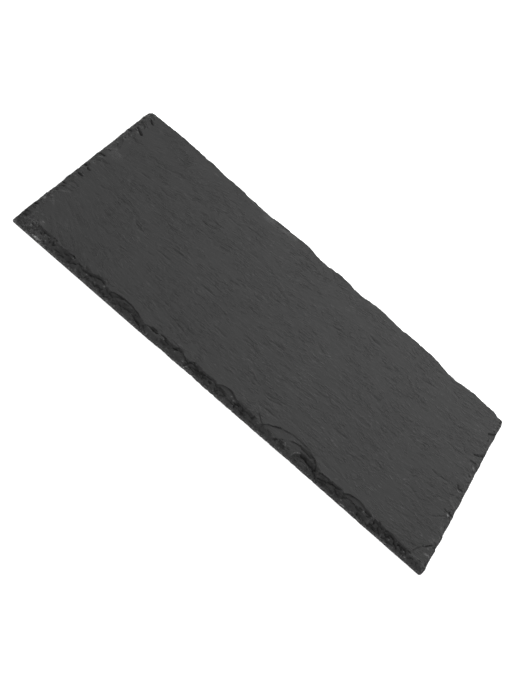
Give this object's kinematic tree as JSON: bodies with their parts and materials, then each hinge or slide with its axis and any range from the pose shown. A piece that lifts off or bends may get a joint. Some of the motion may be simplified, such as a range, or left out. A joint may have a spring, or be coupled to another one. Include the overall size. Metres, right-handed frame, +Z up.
{
  "type": "slate slab",
  "caption": "Thin rectangular board of dark grey natural slate, flat on both faces, with hand-dressed, flaked edges.",
  "frame": {"origin": "middle of the underside, which is the flat face it lies on", "axes": "+X along the length, +Y across the width away from the more heavily flaked long edge, +Z up through the thickness"},
  "size_m": [0.3, 0.15, 0.0055],
  "materials": {
    "slate": "matte natural cleft, dark neutral grey, with slightly rougher broken edges"
  },
  "bodies": {
    "root": {"slate_slab": "slate"}
  },
  "joints": []
}
